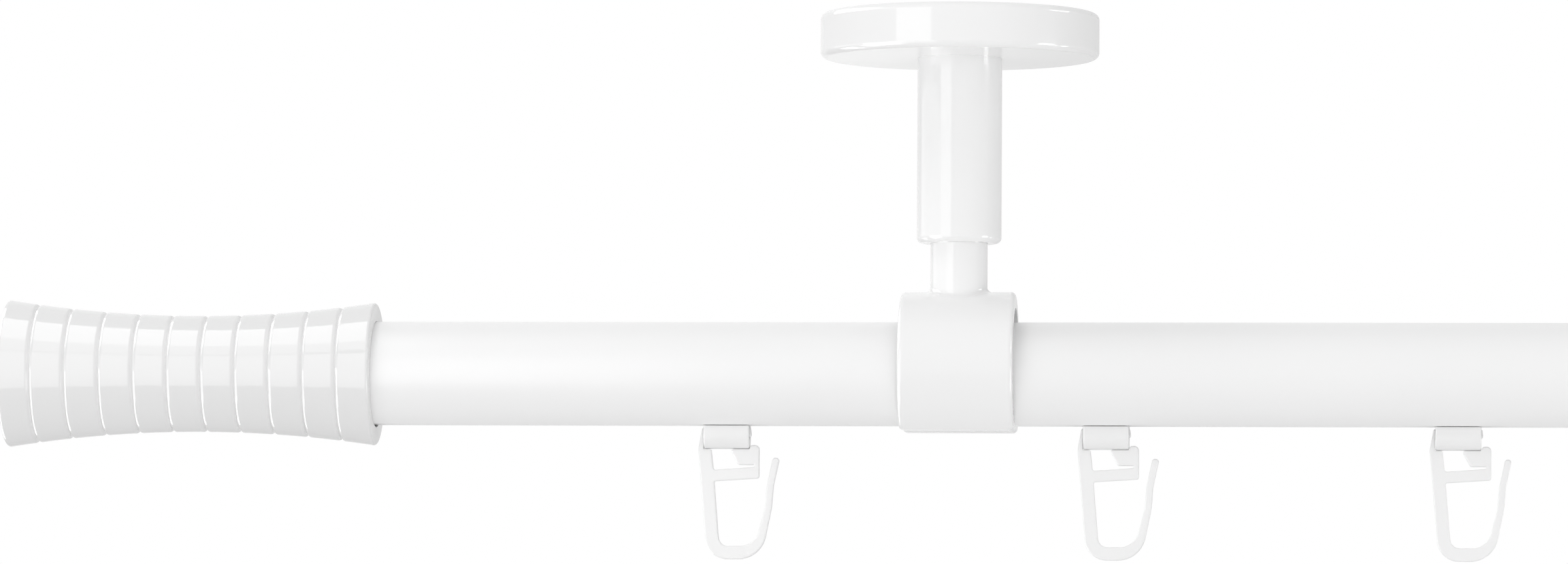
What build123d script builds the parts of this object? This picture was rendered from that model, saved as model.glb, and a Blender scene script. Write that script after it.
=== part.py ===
from build123d import *
import os
from math import sqrt

os.makedirs("parts", exist_ok=True)

# Ceiling-mounted curtain rod with an inner glider track. Millimetres.
# Origin: on the ceiling plane, midway between the two brackets.
# X runs along the rod, -Y faces the room, +Z is up.

# Rod: round tube with a hollow upper chamber and a slotted glider track below it
rod_diameter = 20.0
rod_wall = 1.3
rod_span = 760.0             # visible length between the two finials
ceiling_to_rod_axis = 68.4
track_floor = 7.0            # depth of the track's floor below the rod's axis
track_height = 4.2
web_thickness = 1.2          # between the track and the upper chamber
slot_width = 4.4
slot_edge_radius = 0.7

# Finials: waisted and ringed with V grooves
finial_length = 70.4
finial_waist_radius = 11.05
finial_waist_from_tip = 36.6
finial_curve_radius = 226.0
tip_ring_width = 5.85
ring_pitch = 6.45
groove_count = 10
groove_width = 0.9
groove_depth = 0.5
groove_lip_rounding = 0.7
finial_tip_rounding = 0.5
finial_mouth_rounding = 0.5
socket_depth = 20.0          # length of rod held inside a finial

# Brackets
bracket_inset = 110.5        # from a finial's mouth to the bracket's centre
plate_diameter = 46.0
plate_thickness = 3.0
ceiling_screw_spacing = 30.0
ceiling_screw_hole = 5.0
bolt_diameter = 6.0
bolt_head_diameter = 11.6
bolt_head_height = 2.9
bolt_length = 15.3
bolt_hex = 4.0
bolt_hex_depth = 1.6
plate_margin = 1.75          # between the plate and the rosette's wall
rosette_height = 8.5
rosette_wall = 1.6
rosette_rounding = 1.2
rosette_boss_diameter = 14.0
sleeve_diameter = 16.0
sleeve_drop = 35.0           # from the rosette's underside to the sleeve's lower end
sleeve_rounding = 1.1        # lower end
sleeve_top_wall = 7.0        # threaded for the plate bolt
post_diameter = 10.8
post_in_sleeve = 18.0
post_foot_rounding = 0.9
ring_length = 21.6           # along the rod
ring_play = 1.3              # between the rod and the ring's bore
ring_wall = 3.0
ring_rise = 1.4              # the ring's centre sits above the rod's axis
ring_lip = 0.65              # the ring's flat underside reaches this far below the rod
ring_gap = 9.0               # opening that lets the gliders pass
ring_rounding = 0.9

# Grub screws
grub_diameter = 4.0
grub_hex = 2.0
grub_hex_depth = 1.5
grub_chamfer = 0.4
finial_grub_length = 3.0
sleeve_grub_length = 2.5
sleeve_grub_height = 6.0     # above the sleeve's lower end
ring_grub_length = 5.0
ring_grub_angle = 45.0       # above the horizontal, at the rear

# Runners: foot in the track, eye below the rod. Drops are below the rod's lowest line.
runner_foot_length = 9.0
runner_foot_width = 9.2
runner_foot_height = 2.1
eye_length = 8.6             # along the rod
eye_width = 5.6
eye_hole_radius = 1.35       # centred on the hook's bar
eye_drop = 4.04
eye_shoulder_rise = 0.3      # beside the slot, above the rod's lowest line
eye_rounding = 0.3

# Clip-on hooks. Drops are below the rod's lowest line, places are from the runner's middle.
hook_thickness = 2.0
hook_rounding = 0.25
bar_drop = 0.0               # top bar, through the eye
bar_height = 1.8
barb_length = 0.1            # of the bar's free end past the eye
barb_lean = 0.2              # its lower edge reaches this much further
shoulder_width = 0.25        # of the upright beside the eye, at the bar
hip_width = 1.0              # of the upright beside the eye, at the eye's underside
heel_width = 1.44            # of the upright's step under the eye
upright_lean = 1.7           # of the upright's outer edge, down to the bottom bow
upright_width = 2.5
latch_tongue_reach = 2.2     # place of the latch's tip, on its underside
latch_tongue_slant = 1.5
latch_height = 2.91
latch_slit = 0.97            # between the latch and the cross bar
latch_lip_height = 0.82      # beside the eye's end
latch_lip_width = 1.75
latch_spine_width = 0.95
cross_bar_height = 2.12
cross_bar_rise = 0.54        # towards the latch
bow_seat_drop = 22.35        # where the curtain's tape hangs
bow_height = 2.5
bow_reach = 5.4              # place where the seat ends and the open arm begins
bow_outer_reach = 6.55
arm_knee_drop = 15.0
arm_knee_reach = 7.3
arm_bend_drop = 11.0
arm_bend_reach = 7.6
arm_width = 1.25
arm_tip_drop = 5.7
arm_tip_reach = 8.75

# Places of the gliders
outer_glider_inset = 66.8    # from a finial's mouth to the glider beyond the bracket
glider_to_bracket = 27.9     # from a bracket to the next glider inward
first_glider_gap = 66.0      # between the two gliders nearest to the left bracket
glider_pitch_limit = 70.0    # widest even spacing of the gliders between the brackets

# Clearances
fit_gap = 0.05               # sliding and screwed fits
slot_gap = 0.3               # each side of a runner's neck in the slot
runner_gap = 0.15            # under a runner's foot
eye_gap = 0.08               # between the hook and the ends and underside of the eye

rod_radius = rod_diameter / 2
rod_axis = -ceiling_to_rod_axis
rod_length = rod_span + 2 * socket_depth
finial_mouth = rod_span / 2
bracket_place = finial_mouth - bracket_inset
sides = {"left": -1, "right": 1}

sleeve_top = -rosette_height
sleeve_bottom = sleeve_top - sleeve_drop
rosette_radius = plate_diameter / 2 + plate_margin + rosette_wall
ring_bore_radius = rod_radius + ring_play
ring_outer_radius = ring_bore_radius + ring_wall
ring_axis = rod_axis + ring_rise
ring_foot = rod_radius + ring_lip


def along_rod(x):
    """Plane across the rod at x: its own x is the row's Y, its own y is Z."""
    return Plane(origin=(x, 0, rod_axis), x_dir=(0, 1, 0), z_dir=(1, 0, 0))


def level(x, z):
    """Horizontal plane at height z, centred on x."""
    return Plane(origin=(x, 0, z), x_dir=(1, 0, 0), z_dir=(0, 0, 1))


def upright(x, z):
    """Plane facing the room: its own x is the row's X, its own y is Z."""
    return Plane(origin=(x, 0, z), x_dir=(1, 0, 0), z_dir=(0, -1, 0))


def save(piece, name):
    piece.part.label = name
    export_step(piece.part, f"parts/{name}.step")


# ---- rod ----
rod_start = along_rod(-rod_length / 2)
chamber_radius = rod_radius - rod_wall
track_roof = -track_floor + track_height
web_top = track_roof + web_thickness

with BuildPart() as rod:
    with BuildSketch(rod_start):
        Circle(rod_radius)
    extrude(amount=rod_length)
    # upper chamber
    with BuildSketch(rod_start):
        Circle(chamber_radius)
        with Locations((0, web_top)):
            Rectangle(rod_diameter, rod_diameter, align=(Align.CENTER, Align.MIN), mode=Mode.INTERSECT)
    extrude(amount=rod_length, mode=Mode.SUBTRACT)
    # glider track
    with BuildSketch(rod_start):
        Circle(chamber_radius)
        with Locations((0, -track_floor)):
            Rectangle(rod_diameter, track_height, align=(Align.CENTER, Align.MIN), mode=Mode.INTERSECT)
    extrude(amount=rod_length, mode=Mode.SUBTRACT)
    # slot
    with BuildSketch(rod_start):
        with Locations((0, track_roof)):
            Rectangle(slot_width, rod_radius, align=(Align.CENTER, Align.MAX))
    extrude(amount=rod_length, mode=Mode.SUBTRACT)
    slot_edge_depth = sqrt(rod_radius**2 - (slot_width / 2) ** 2)
    slot_edges = rod.edges().filter_by(Axis.X).filter_by_position(
        Axis.Z, rod_axis - slot_edge_depth - fit_gap, rod_axis - slot_edge_depth + fit_gap
    )
    fillet(slot_edges, slot_edge_radius)
save(rod, "rod")


# ---- grub screws ----
def make_grub_screw(tip_plane, length):
    """Grub screw that starts at its tip and points along the plane's normal."""
    with BuildPart() as screw:
        with BuildSketch(tip_plane):
            Circle(grub_diameter / 2)
        extrude(amount=length)
        chamfer(screw.edges().filter_by(GeomType.CIRCLE), grub_chamfer)
        with BuildSketch(tip_plane.offset(length)):
            RegularPolygon(grub_hex / 2, 6, major_radius=False)
        extrude(amount=-grub_hex_depth, mode=Mode.SUBTRACT)
    return screw


def grub_bore(tip_plane):
    """The space that is cut from a host for its grub screw."""
    with BuildPart() as bore:
        with BuildSketch(tip_plane):
            Circle(grub_diameter / 2 + fit_gap)
        extrude(amount=rod_diameter)
    return bore.part


# ---- finials ----
def finial_radius(from_tip):
    """Radius of the waisted flank at a distance from the finial's tip."""
    off_waist = from_tip - finial_waist_from_tip
    return finial_waist_radius + finial_curve_radius - sqrt(finial_curve_radius**2 - off_waist**2)


def is_groove_lip(from_tip, radius):
    """True for a corner of the profile where a groove meets the flank."""
    first = tip_ring_width - groove_width
    last = tip_ring_width + (groove_count - 1) * ring_pitch + groove_width
    return first < from_tip < last and abs(radius - finial_radius(from_tip)) < groove_depth / 2


def finial_grub_plane(side):
    mouth_ring = finial_length - tip_ring_width - (groove_count - 1) * ring_pitch
    x = side * (finial_mouth + mouth_ring / 2)
    return Plane(origin=(x, rod_radius + fit_gap, rod_axis), x_dir=(1, 0, 0), z_dir=(0, 1, 0))


def make_finial(side):
    tip = side * (finial_mouth + finial_length)
    profile_plane = Plane(origin=(tip, 0, rod_axis), x_dir=(-side, 0, 0), z_dir=(0, side, 0))
    tip_radius = finial_radius(0)
    mouth_radius = finial_radius(finial_length)
    screw_bore = grub_bore(finial_grub_plane(side))
    with BuildPart() as finial:
        with BuildSketch(profile_plane) as profile:
            with BuildLine():
                Line((finial_length, 0), (0, 0))
                Line((0, 0), (0, tip_radius))
                ThreePointArc(
                    (0, tip_radius),
                    (finial_waist_from_tip, finial_waist_radius),
                    (finial_length, mouth_radius),
                )
                Line((finial_length, mouth_radius), (finial_length, 0))
            make_face()
            tip_corner = profile.vertices().sort_by_distance((0, tip_radius))[0]
            fillet(tip_corner, finial_tip_rounding)
            mouth_corner = profile.vertices().sort_by_distance((finial_length, mouth_radius))[0]
            fillet(mouth_corner, finial_mouth_rounding)
            for groove in range(groove_count):
                place = tip_ring_width + groove * ring_pitch
                flank = finial_radius(place)
                lip = groove_width / 2
                Polygon(
                    (place - 2 * lip, flank + groove_depth),
                    (place, flank - groove_depth),
                    (place + 2 * lip, flank + groove_depth),
                    align=None,
                    mode=Mode.SUBTRACT,
                )
            lips = [v for v in profile.vertices() if is_groove_lip(v.X, v.Y)]
            fillet(lips, groove_lip_rounding)
            with Locations((finial_length, 0)):
                Rectangle(
                    socket_depth + fit_gap,
                    rod_radius + fit_gap,
                    align=(Align.MAX, Align.MIN),
                    mode=Mode.SUBTRACT,
                )
        revolve(axis=Axis((0, 0, rod_axis), (1, 0, 0)))
        add(screw_bore, mode=Mode.SUBTRACT)
    return finial


# ---- brackets ----
def make_ceiling_plate(x):
    """Steel disc with two holes across the rod for the ceiling screws."""
    with BuildPart() as plate:
        with BuildSketch(level(x, -plate_thickness)):
            Circle(plate_diameter / 2)
            with GridLocations(0, ceiling_screw_spacing, 1, 2):
                Circle(ceiling_screw_hole / 2, mode=Mode.SUBTRACT)
            Circle(bolt_diameter / 2 + fit_gap, mode=Mode.SUBTRACT)
        extrude(amount=plate_thickness)
        # countersink for the bolt's head
        with BuildSketch(upright(x, 0)):
            with BuildLine():
                Polyline(
                    (0, 0),
                    (bolt_head_diameter / 2 + fit_gap, 0),
                    (bolt_diameter / 2 + fit_gap, -bolt_head_height),
                    (0, -bolt_head_height),
                    close=True,
                )
            make_face()
        revolve(axis=Axis((x, 0, 0), (0, 0, 1)), mode=Mode.SUBTRACT)
    return plate


def make_plate_bolt(x):
    """Countersunk bolt, its head flush with the ceiling plane."""
    with BuildPart() as bolt:
        with BuildSketch(upright(x, 0)):
            with BuildLine():
                Polyline(
                    (0, 0),
                    (bolt_head_diameter / 2, 0),
                    (bolt_diameter / 2, -bolt_head_height),
                    (bolt_diameter / 2, -bolt_length),
                    (0, -bolt_length),
                    close=True,
                )
            make_face()
        revolve(axis=Axis((x, 0, 0), (0, 0, 1)))
        with BuildSketch(level(x, 0)):
            RegularPolygon(bolt_hex / 2, 6, major_radius=False)
        extrude(amount=-bolt_hex_depth, mode=Mode.SUBTRACT)
    return bolt


def make_rosette(x):
    """Hollow cover with a boss that the sleeve presses against the ceiling plate."""
    with BuildPart() as rosette:
        with BuildSketch(level(x, -rosette_height)):
            Circle(rosette_radius)
        extrude(amount=rosette_height)
        fillet(rosette.edges(), rosette_rounding)
        with BuildSketch(level(x, 0)):
            Circle(rosette_radius - rosette_wall)
        extrude(amount=-(rosette_height - rosette_wall), mode=Mode.SUBTRACT)
        with BuildSketch(level(x, -rosette_height)):
            Circle(rosette_boss_diameter / 2)
        extrude(amount=rosette_height - plate_thickness)
        with BuildSketch(level(x, -rosette_height)):
            Circle(bolt_diameter / 2 + fit_gap)
        extrude(amount=rosette_height, mode=Mode.SUBTRACT)
    return rosette


def sleeve_grub_plane(x):
    height = sleeve_bottom + sleeve_grub_height
    return Plane(origin=(x, post_diameter / 2 + fit_gap, height), x_dir=(1, 0, 0), z_dir=(0, 1, 0))


def make_sleeve(x):
    """Upper tube of the bracket: closed on top, bored for the post from below."""
    screw_bore = grub_bore(sleeve_grub_plane(x))
    with BuildPart() as sleeve:
        with BuildSketch(level(x, sleeve_bottom)):
            Circle(sleeve_diameter / 2)
        extrude(amount=sleeve_drop)
        fillet(sleeve.edges().group_by(Axis.Z)[0], sleeve_rounding)
        with BuildSketch(level(x, sleeve_bottom)):
            Circle(post_diameter / 2 + fit_gap)
        extrude(amount=sleeve_drop - sleeve_top_wall, mode=Mode.SUBTRACT)
        with BuildSketch(level(x, sleeve_top)):
            Circle(bolt_diameter / 2 + fit_gap)
        extrude(amount=-sleeve_top_wall, mode=Mode.SUBTRACT)
        add(screw_bore, mode=Mode.SUBTRACT)
    return sleeve


def ring_grub_plane(x):
    """The ring's grub screw comes from behind and above, aimed at the rod's axis."""
    aim = Vector(0, 1, 0).rotate(Axis.X, ring_grub_angle)
    tip = Vector(x, 0, rod_axis) + aim * (rod_radius + fit_gap)
    return Plane(origin=tip, x_dir=(1, 0, 0), z_dir=aim)


def make_rod_ring(x):
    """Post and open ring in one casting."""
    ring_start = along_rod(x - ring_length / 2)
    screw_bore = grub_bore(ring_grub_plane(x))
    with BuildPart() as rod_ring:
        with BuildSketch(ring_start):
            with Locations((0, ring_rise)):
                Circle(ring_outer_radius)
            with Locations((0, -ring_foot)):
                Rectangle(
                    2 * ring_outer_radius,
                    2 * ring_outer_radius,
                    align=(Align.CENTER, Align.MIN),
                    mode=Mode.INTERSECT,
                )
        extrude(amount=ring_length)
        fillet(rod_ring.edges().filter_by(Axis.X, reverse=True), ring_rounding)
        with BuildSketch(level(x, ring_axis)):
            Circle(post_diameter / 2)
        extrude(amount=sleeve_bottom + post_in_sleeve - ring_axis)
        post_foot = rod_ring.edges().filter_by_position(
            Axis.Z, ring_axis + ring_bore_radius, ring_axis + ring_outer_radius + fit_gap
        ).filter_by_position(Axis.X, x - post_diameter / 2 - fit_gap, x + post_diameter / 2 + fit_gap)
        fillet(post_foot.filter_by(GeomType.LINE, reverse=True), post_foot_rounding)
        with BuildSketch(ring_start):
            with Locations((0, ring_rise)):
                Circle(ring_bore_radius)
            Rectangle(ring_gap, 2 * ring_foot, align=(Align.CENTER, Align.MAX))
        extrude(amount=ring_length, mode=Mode.SUBTRACT)
        add(screw_bore, mode=Mode.SUBTRACT)
    return rod_ring


for name, side in sides.items():
    bracket = side * bracket_place
    save(make_finial(side), f"finial_{name}")
    save(make_grub_screw(finial_grub_plane(side), finial_grub_length), f"finial_screw_{name}")
    save(make_ceiling_plate(bracket), f"ceiling_plate_{name}")
    save(make_plate_bolt(bracket), f"plate_bolt_{name}")
    save(make_rosette(bracket), f"rosette_{name}")
    save(make_sleeve(bracket), f"sleeve_{name}")
    save(make_grub_screw(sleeve_grub_plane(bracket), sleeve_grub_length), f"sleeve_screw_{name}")
    save(make_rod_ring(bracket), f"rod_ring_{name}")
    save(make_grub_screw(ring_grub_plane(bracket), ring_grub_length), f"ring_screw_{name}")


# ---- gliders ----
def make_runner(x):
    """Foot in the track, neck through the slot, and an eye below the rod."""
    eye_start = along_rod(x - eye_length / 2)
    eye_radius = eye_width / 2
    eye_centre = rod_radius + eye_drop - eye_radius
    eye_shoulder = rod_radius - eye_shoulder_rise
    bar_centre = rod_radius + bar_drop + bar_height / 2
    foot_bottom = -track_floor + runner_gap
    with BuildPart() as runner:
        # eye
        with BuildSketch(eye_start):
            with Locations((0, -eye_centre)):
                Circle(eye_radius)
                Rectangle(eye_width, eye_centre - eye_shoulder, align=(Align.CENTER, Align.MIN))
        extrude(amount=eye_length)
        fillet(runner.edges().filter_by(Axis.X, reverse=True), eye_rounding)
        # neck
        with BuildSketch(eye_start):
            with Locations((0, foot_bottom)):
                Rectangle(
                    slot_width - 2 * slot_gap,
                    eye_shoulder + foot_bottom + eye_rounding,
                    align=(Align.CENTER, Align.MAX),
                )
        extrude(amount=eye_length)
        # foot
        with BuildSketch(along_rod(x - runner_foot_length / 2)):
            with Locations((0, foot_bottom)):
                Rectangle(runner_foot_width, runner_foot_height, align=(Align.CENTER, Align.MIN))
        extrude(amount=runner_foot_length)
        # hole that the hook's bar hangs in
        with BuildSketch(eye_start):
            with Locations((0, -bar_centre)):
                Circle(eye_hole_radius)
        extrude(amount=eye_length, mode=Mode.SUBTRACT)
    return runner


def make_hook(x):
    """Flat clip-on hook: top bar through the eye, latch below the eye, open bow for the tape."""
    bar_left = -eye_length / 2 - eye_gap
    bar_right = eye_length / 2 + eye_gap
    bar_bottom = bar_drop + bar_height
    latch_top = eye_drop + eye_gap
    latch_bottom = latch_top + latch_height
    latch_right = bar_right + latch_lip_width
    cross_bar_top = latch_bottom + latch_slit
    cross_bar_bottom = cross_bar_top + cross_bar_height
    bow_bottom = bow_seat_drop + bow_height
    upright_slope = upright_lean / (bow_bottom - eye_drop)

    def upright_edge(drop):
        """Outer edge of the leaning upright."""
        return bar_left - hip_width + upright_slope * (drop - eye_drop)

    # outline, clockwise from the bar's left end: (place, drop), corner radius
    corners = [
        ((bar_left - shoulder_width, bar_drop), 0.5),
        ((bar_right + barb_length, bar_drop), 0.5),
        ((bar_right + barb_length + barb_lean, bar_bottom), 0.5),
        ((bar_left, bar_bottom), 0.25),
        ((bar_left, latch_top), 0.2),
        ((bar_left + heel_width, latch_top), 0.3),
        # window above the cross bar
        ((upright_edge(cross_bar_top) + upright_width, cross_bar_top), 0.5),
        ((latch_right - latch_spine_width, cross_bar_top - cross_bar_rise), 0.2),
        # latch
        ((latch_right - latch_spine_width, latch_bottom), 0.2),
        ((latch_tongue_reach, latch_bottom), 0.5),
        ((latch_tongue_reach - latch_tongue_slant, latch_top), 0.3),
        ((bar_right, latch_top), 0.2),
        ((bar_right, latch_top - latch_lip_height), 0.5),
        ((latch_right, latch_top - latch_lip_height), 0.8),
        ((latch_right, cross_bar_bottom - cross_bar_rise), 0.5),
        # inside of the bow
        ((upright_edge(cross_bar_bottom) + upright_width, cross_bar_bottom), 0.3),
        ((upright_edge(bow_seat_drop) + upright_width, bow_seat_drop), 1.8),
        ((bow_reach, bow_seat_drop), 3.6),
        ((arm_knee_reach, arm_knee_drop), 8.0),
        ((arm_bend_reach, arm_bend_drop), 8.0),
        ((arm_tip_reach, arm_tip_drop), 0.55),
        # outside of the bow
        ((arm_tip_reach + arm_width, arm_tip_drop), 0.55),
        ((arm_bend_reach + arm_width, arm_bend_drop), 8.0),
        ((arm_knee_reach + arm_width, arm_knee_drop), 8.0),
        ((bow_outer_reach, bow_bottom), 5.4),
        ((upright_edge(bow_bottom), bow_bottom), 4.2),
        ((upright_edge(eye_drop), eye_drop), 6.0),
    ]
    with BuildPart() as hook:
        with BuildSketch(upright(x, rod_axis - rod_radius)):
            with BuildLine():
                FilletPolyline(
                    *[(place, -drop) for (place, drop), radius in corners],
                    radius=[radius for point, radius in corners],
                    close=True,
                )
            make_face()
        extrude(amount=hook_thickness / 2, both=True)
        flat_faces = hook.faces().filter_by(Axis.Y)
        fillet(flat_faces.edges(), hook_rounding)
    return hook


def glider_places():
    """Outer gliders beyond the brackets, the rest between them."""
    first = -bracket_place + glider_to_bracket
    second = first + first_glider_gap
    last = bracket_place - glider_to_bracket
    gaps = max(1, round((last - second) / glider_pitch_limit))
    pitch = (last - second) / gaps
    inner = [second + index * pitch for index in range(gaps + 1)]
    outer = finial_mouth - outer_glider_inset
    return [-outer, first, *inner, outer]


for number, place in enumerate(glider_places(), start=1):
    save(make_runner(place), f"runner_{number:02d}")
    save(make_hook(place), f"hook_{number:02d}")
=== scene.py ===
import math
import bpy
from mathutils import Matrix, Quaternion, Vector


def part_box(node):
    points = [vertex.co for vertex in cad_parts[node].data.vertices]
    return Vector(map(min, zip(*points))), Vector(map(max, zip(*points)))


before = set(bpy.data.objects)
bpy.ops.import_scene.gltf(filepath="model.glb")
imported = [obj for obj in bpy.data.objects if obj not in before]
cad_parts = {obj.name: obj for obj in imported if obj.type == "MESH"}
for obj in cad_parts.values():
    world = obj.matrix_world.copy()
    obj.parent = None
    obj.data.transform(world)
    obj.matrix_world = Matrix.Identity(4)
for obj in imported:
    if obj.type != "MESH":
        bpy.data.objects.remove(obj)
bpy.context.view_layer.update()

# ---- places, worked out from the frame (metres) ----
finial_low, finial_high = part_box("finial_left")
rosette_low, rosette_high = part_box("rosette_left")
rod_axis = (finial_low.z + finial_high.z) / 2
tip = finial_low.x
bracket = (rosette_low.x + rosette_high.x) / 2

# ---- camera: a long lens, a little to the right of the left bracket and below the rod ----
view_width = 0.2963
camera_distance = 1.5
camera_right_of_bracket = 0.088
camera_below_rod = 0.075
camera_roll = math.radians(0.33)
aim_right_of_tip = 0.1478
aim_above_rod = 0.0176
sensor_width = 36.0          # millimetres

# ---- light on matt surfaces: level, how it changes towards +X, +Y and +Z, and its dim side ----
light_level = 0.84
light_slope = Vector((-0.035, -0.07, -0.08))
dim_side = Vector((0.97, 0.22, -0.10)).normalized()
dim_edge = (0.15, 0.80)      # cosine from the dim side where the dimming starts and ends
dimming = 0.25
# ---- what gloss reflects: white, with a grey region behind at the right ----
grey_side = Vector((0.72, 0.69, 0.0)).normalized()
grey_edge = (0.632, 0.662)   # cosine from the grey side where the greying starts and ends
greying = 0.24

# ---- lamps ----
finial_middle = 0.035        # from a finial's tip
# height of the upper lamp beyond the left (-1) and right (1) end. The right one is higher, clear
# of the reflections in the left bracket
upper_end_lamp_height = {-1: 0.20, 1: 0.27}
rightward = Vector((1, 0, 0))
backward = Vector((0, 1, 0))
upward = Vector((0, 0, 1))
downward = Vector((0, 0, -1))

# ---- floor ----
floor_drop = 0.45            # below the rod's axis
floor_radius = 30.0
floor_colour = 0.80
floor_glow = 0.03            # added to the light that the floor throws back
floor_camera_glow = 0.27     # the same, as the camera sees it
floor_plain_from = 0.9       # the floor starts to fade to the backdrop's white at this distance
floor_plain_at = 3.0         # and is as white as the backdrop beyond this one

# ---- materials ----
casting_white = 0.93         # rod, rosette, sleeve, post and ring
# painted shade: the finials have the same white lacquer as the castings, set darker here so that
# their undersides render darker
finial_shaded_white = 0.84
satin = 0.32                 # roughness of the rod
gloss = 0.07                 # roughness of castings and finials
lacquer_tone_drift = 0.008
lacquer_gloss_drift = 0.03
peel_depth = 2.5e-6          # metres, as the other depths
plastic_mark_depth = 12e-6
zinc_mark_depth = 10e-6


def make_camera():
    aim = Vector((tip + aim_right_of_tip, 0, rod_axis + aim_above_rod))
    place = Vector((bracket + camera_right_of_bracket, -camera_distance,
                    rod_axis - camera_below_rod))
    data = bpy.data.cameras.new("camera")
    data.sensor_width = sensor_width
    data.lens = data.sensor_width * (aim - place).length / view_width
    data.clip_start = 0.1
    data.clip_end = 100.0
    camera = bpy.data.objects.new("camera", data)
    camera.location = place
    camera.rotation_mode = "QUATERNION"
    level_gaze = (aim - place).to_track_quat("-Z", "Y")
    camera.rotation_quaternion = level_gaze @ Quaternion((0, 0, 1), camera_roll)
    bpy.context.scene.collection.objects.link(camera)
    bpy.context.scene.camera = camera


class Tree:
    """A short way to add and join shader nodes."""

    def __init__(self, tree):
        self.nodes = tree.nodes
        self.links = tree.links

    def add(self, kind, **settings):
        node = self.nodes.new("ShaderNode" + kind)
        for name, value in settings.items():
            setattr(node, name, value)
        return node

    def join(self, output, socket):
        self.links.new(output, socket)

    def math(self, operation, first, second):
        node = self.add("Math", operation=operation)
        for socket, value in zip(node.inputs, (first, second)):
            if isinstance(value, (int, float)):
                socket.default_value = value
            else:
                self.join(value, socket)
        return node.outputs[0]

    def ramp(self, value, low, high, to_low, to_high, smooth=False):
        node = self.add("MapRange")
        if smooth:
            node.interpolation_type = "SMOOTHSTEP"
        self.join(value, node.inputs["Value"])
        limits = {"From Min": low, "From Max": high, "To Min": to_low, "To Max": to_high}
        for name, number in limits.items():
            node.inputs[name].default_value = number
        return node.outputs[0]

    def noise(self, coords, scale, detail, stretch=None):
        if stretch:
            mapping = self.add("Mapping")
            mapping.inputs["Scale"].default_value = stretch
            self.join(coords, mapping.inputs["Vector"])
            coords = mapping.outputs[0]
        node = self.add("TexNoise")
        self.join(coords, node.inputs["Vector"])
        node.inputs["Scale"].default_value = scale
        node.inputs["Detail"].default_value = detail
        return node.outputs[0]

    def mix(self, choice, otherwise, chosen):
        node = self.add("MixShader")
        for socket, output in zip(node.inputs, (choice, otherwise, chosen)):
            self.join(output, socket)
        return node.outputs[0]


# ---- light ----
def make_world():
    """White to the camera, nearly white in gloss, and as light soft, with a dim right side."""
    world = bpy.data.worlds.new("studio")
    bpy.context.scene.world = world
    world.use_nodes = True
    world.node_tree.nodes.clear()
    tree = Tree(world.node_tree)
    direction = tree.add("TexCoord").outputs["Generated"]

    def along(axis):
        dot = tree.add("VectorMath", operation="DOT_PRODUCT")
        dot.inputs[1].default_value = axis
        tree.join(direction, dot.inputs[0])
        return dot.outputs["Value"]

    def background(strength):
        shader = tree.add("Background")
        shader.inputs["Color"].default_value = (1, 1, 1, 1)
        if isinstance(strength, float):
            shader.inputs["Strength"].default_value = strength
        else:
            tree.join(strength, shader.inputs["Strength"])
        return shader.outputs[0]

    level = tree.math("ADD", along(light_slope), light_level)
    dim = tree.ramp(along(dim_side), *dim_edge, 1.0, 1.0 - dimming, smooth=True)
    soft = background(tree.math("MULTIPLY", level, dim))
    grey = tree.ramp(along(grey_side), *grey_edge, 1.0, 1.0 - greying, smooth=True)
    path = tree.add("LightPath").outputs
    shown = tree.mix(path["Is Glossy Ray"], soft, background(grey))
    plain = tree.math("MAXIMUM", path["Is Camera Ray"], path["Is Transmission Ray"])
    shown = tree.mix(plain, shown, background(1.0))
    tree.join(shown, tree.add("OutputWorld").inputs[0])


def make_softbox(name, place, facing, size, level, matt=False, gloss=True):
    """A softbox that shows in gloss, lights matt surfaces, or both. Its level is its radiance."""
    data = bpy.data.lights.new(name, "AREA")
    data.shape = "RECTANGLE"
    data.size, data.size_y = size
    data.energy = level * size[0] * size[1] * math.pi
    light = bpy.data.objects.new(name, data)
    light.location = place
    light.rotation_mode = "QUATERNION"
    light.rotation_quaternion = facing.to_track_quat("-Z", "Y")
    light.visible_camera = False
    light.visible_diffuse = matt
    light.visible_glossy = gloss
    bpy.context.scene.collection.objects.link(light)


def make_bracket_lights():
    at_bracket = Vector((bracket, 0, rod_axis))
    # upright, to the left of the bracket: the highlights on disc, sleeve, post and rod
    make_softbox("softbox_left", at_bracket + Vector((-0.187, -0.25, 0.02)),
                 facing=backward, size=(0.20, 0.28), level=1.9)
    # long from front to back and 85 mm high: the even sheen on the left half of sleeve and post
    make_softbox("softbox_side", at_bracket + Vector((-0.33, -0.04, 0.042)),
                 facing=rightward, size=(0.48, 0.085), level=1.15)
    # long, in front of the rod and below it: light under the rosette and on the rod's lower half
    make_softbox("fill", Vector((0, -0.60, rod_axis - 0.33)),
                 facing=upward, size=(1.8, 0.40), level=1.55, matt=True, gloss=False)


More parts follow.
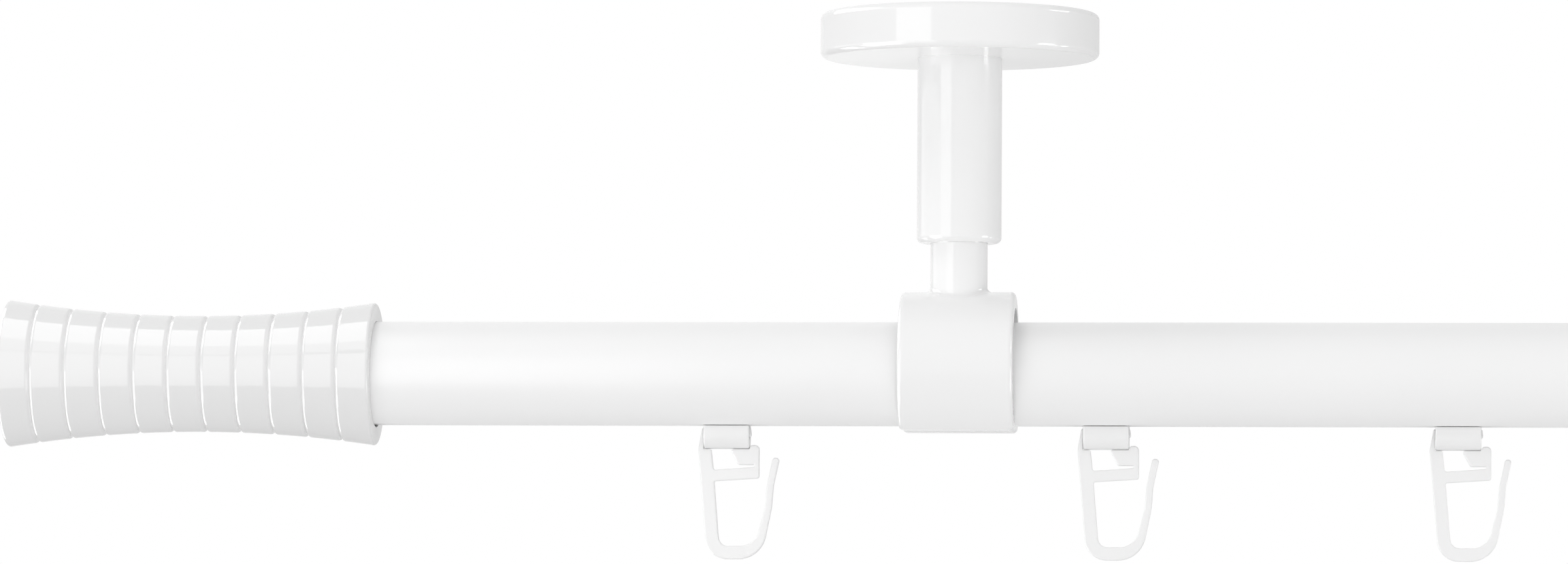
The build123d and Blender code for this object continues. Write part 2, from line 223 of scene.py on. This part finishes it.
def make_finial_lights(side):
    """The lamps of the left (-1) or right (1) finial."""
    def near_finial(outward, back, up):
        middle = -(tip + finial_middle)
        return Vector((side * (middle + outward), back, rod_axis + up))

    # wide, overhead: light on top of the finial
    make_softbox(f"softbox_above_{side}", near_finial(outward=0.09, back=-0.19, up=0.45),
                 facing=downward, size=(0.14, 0.38), level=2.6, matt=True, gloss=False)
    # strips close above: the crisp band along the finial, and the sheen below the band
    make_softbox(f"strip_{side}", near_finial(outward=0.015, back=-0.046, up=0.12),
                 facing=downward, size=(0.055, 0.093), level=3.0)
    make_softbox(f"strip_front_{side}", near_finial(outward=0.015, back=-0.135, up=0.12),
                 facing=downward, size=(0.055, 0.085), level=1.6)
    # three beyond the end: the bright streak along each groove's lip
    place = near_finial(outward=0.255, back=-0.17, up=-0.19)
    make_softbox(f"softbox_end_{side}", place,
                 facing=near_finial(outward=0, back=0, up=-0.19) - place,
                 size=(0.26, 0.42), level=6.0)
    for name, height in (("lower", -0.20), ("upper", upper_end_lamp_height[side])):
        place = near_finial(outward=0.22, back=0.06, up=height)
        make_softbox(f"softbox_end_{name}_{side}", place,
                     facing=near_finial(outward=0, back=0, up=0) - place,
                     size=(0.34, 0.20), level=7.0)


# ---- floor ----
def make_floor():
    mesh = bpy.data.meshes.new("floor")
    reach = floor_radius
    corners = [(-reach, -reach, 0), (reach, -reach, 0), (reach, reach, 0), (-reach, reach, 0)]
    mesh.from_pydata(corners, [], [(0, 1, 2, 3)])
    floor = bpy.data.objects.new("floor", mesh)
    floor.location = (0, 0, rod_axis - floor_drop)
    bpy.context.scene.collection.objects.link(floor)
    material = bpy.data.materials.new("floor")
    material.use_nodes = True
    material.node_tree.nodes.clear()
    tree = Tree(material.node_tree)
    path = tree.add("LightPath").outputs
    geometry = tree.add("NewGeometry").outputs
    # matt and pale, a little brighter to the camera
    matt = tree.add("BsdfDiffuse")
    matt.inputs["Color"].default_value = (*grey(floor_colour), 1)
    glow = tree.add("Emission")
    strength = tree.ramp(path["Is Camera Ray"], 0.0, 1.0, floor_glow, floor_camera_glow)
    tree.join(strength, glow.inputs["Strength"])
    near = tree.add("AddShader")
    tree.join(matt.outputs[0], near.inputs[0])
    tree.join(glow.outputs[0], near.inputs[1])
    # further away plain white to the camera, and the world's own reflection in gloss
    plain = tree.add("Emission").outputs[0]
    far = tree.mix(path["Is Glossy Ray"], plain, tree.add("BsdfTransparent").outputs[0])
    distance = tree.add("VectorMath", operation="LENGTH")
    tree.join(tree.add("TexCoord").outputs["Object"], distance.inputs[0])
    fade = tree.ramp(distance.outputs["Value"], floor_plain_from, floor_plain_at, 0.0, 1.0,
                     smooth=True)
    seen = tree.math("MAXIMUM", path["Is Camera Ray"], path["Is Glossy Ray"])
    top = tree.mix(tree.math("MULTIPLY", fade, seen), near.outputs[0], far)
    # nothing from underneath, so that views from below stay open
    whole = tree.mix(geometry["Backfacing"], top, tree.add("BsdfTransparent").outputs[0])
    tree.join(whole, tree.add("OutputMaterial").inputs["Surface"])
    mesh.materials.append(material)


# ---- materials ----
def grey(level):
    return (level, level, level)


def new_material(name, colour, roughness, metallic=0.0):
    material = bpy.data.materials.new(name)
    material.use_nodes = True
    tree = Tree(material.node_tree)
    shader = material.node_tree.nodes["Principled BSDF"]
    shader.inputs["Base Color"].default_value = (*colour, 1)
    shader.inputs["Roughness"].default_value = roughness
    shader.inputs["Metallic"].default_value = metallic
    return material, tree, shader


def tint(tree, shader, value, dark, light):
    """Base colour that wanders between two tones with a value."""
    ramp = tree.add("ValToRGB")
    ramp.color_ramp.elements[0].color = (*dark, 1)
    ramp.color_ramp.elements[1].color = (*light, 1)
    tree.join(value, ramp.inputs[0])
    tree.join(ramp.outputs["Color"], shader.inputs["Base Color"])


def bump(tree, shader, height, depth):
    node = tree.add("Bump")
    node.inputs["Strength"].default_value = 1.0
    node.inputs["Distance"].default_value = depth
    tree.join(height, node.inputs["Height"])
    tree.join(node.outputs[0], shader.inputs["Normal"])


def make_lacquer(name, white, roughness):
    """White stoved lacquer: faint orange peel, slightly uneven gloss."""
    material, tree, shader = new_material(name, grey(white), roughness)
    coords = tree.add("TexCoord").outputs["Object"]
    cloud = tree.noise(coords, scale=35.0, detail=3.0)
    tint(tree, shader, cloud, grey(white - lacquer_tone_drift), grey(white + lacquer_tone_drift))
    drift = tree.ramp(cloud, 0.0, 1.0,
                      roughness - lacquer_gloss_drift, roughness + lacquer_gloss_drift)
    tree.join(drift, shader.inputs["Roughness"])
    bump(tree, shader, tree.noise(coords, scale=620.0, detail=1.5), peel_depth)
    return material


def make_plastic(name):
    """Milky polyacetal: light sinks in a little, with faint flow marks from the mould."""
    material, tree, shader = new_material(name, grey(0.91), roughness=0.36)
    coords = tree.add("TexCoord").outputs["Object"]
    flow = tree.noise(coords, scale=260.0, detail=3.0, stretch=(1.0, 1.0, 0.45))
    tint(tree, shader, flow, dark=grey(0.90), light=grey(0.92))
    unevenness = tree.ramp(flow, low=0.0, high=1.0, to_low=0.28, to_high=0.46)
    tree.join(unevenness, shader.inputs["Roughness"])
    bump(tree, shader, tree.noise(coords, scale=1500.0, detail=2.0), plastic_mark_depth)
    shader.inputs["Subsurface Weight"].default_value = 0.3
    shader.inputs["Subsurface Radius"].default_value = (1.0, 1.0, 1.0)
    shader.inputs["Subsurface Scale"].default_value = 0.0015
    return material


def make_zinc(name):
    """Bright zinc plating with fine turning marks and a cloudy passivation."""
    material, tree, shader = new_material(name, (0.70, 0.71, 0.72), roughness=0.30, metallic=1.0)
    coords = tree.add("TexCoord").outputs["Object"]
    cloud = tree.noise(coords, scale=420.0, detail=4.0)
    tint(tree, shader, cloud, dark=(0.60, 0.61, 0.63), light=(0.76, 0.76, 0.75))
    unevenness = tree.ramp(cloud, low=0.2, high=0.8, to_low=0.24, to_high=0.42)
    tree.join(unevenness, shader.inputs["Roughness"])
    marks = tree.noise(coords, scale=2600.0, detail=2.0, stretch=(1.0, 1.0, 6.0))
    bump(tree, shader, marks, zinc_mark_depth)
    return material


rod_lacquer = make_lacquer("rod_lacquer", casting_white, satin)
casting_lacquer = make_lacquer("casting_lacquer", casting_white, gloss)
# the same white lacquer as the castings, darker: painted shade on the finials
finial_shaded_lacquer = make_lacquer("finial_shaded_lacquer", finial_shaded_white, gloss)
plastic = make_plastic("milky_plastic")
zinc = make_zinc("zinc_plating")

for name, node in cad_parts.items():
    if name.startswith(("hook", "runner")):
        chosen = plastic
    elif "screw" in name or "plate" in name:
        chosen = zinc
    elif name == "rod":
        chosen = rod_lacquer
    elif name.startswith("finial"):
        chosen = finial_shaded_lacquer
    else:
        chosen = casting_lacquer
    for slot in node.material_slots:
        slot.material = chosen

make_camera()
make_world()
make_bracket_lights()
for side in (-1, 1):
    make_finial_lights(side)
make_floor()

bpy.context.scene.view_settings.view_transform = "Standard"
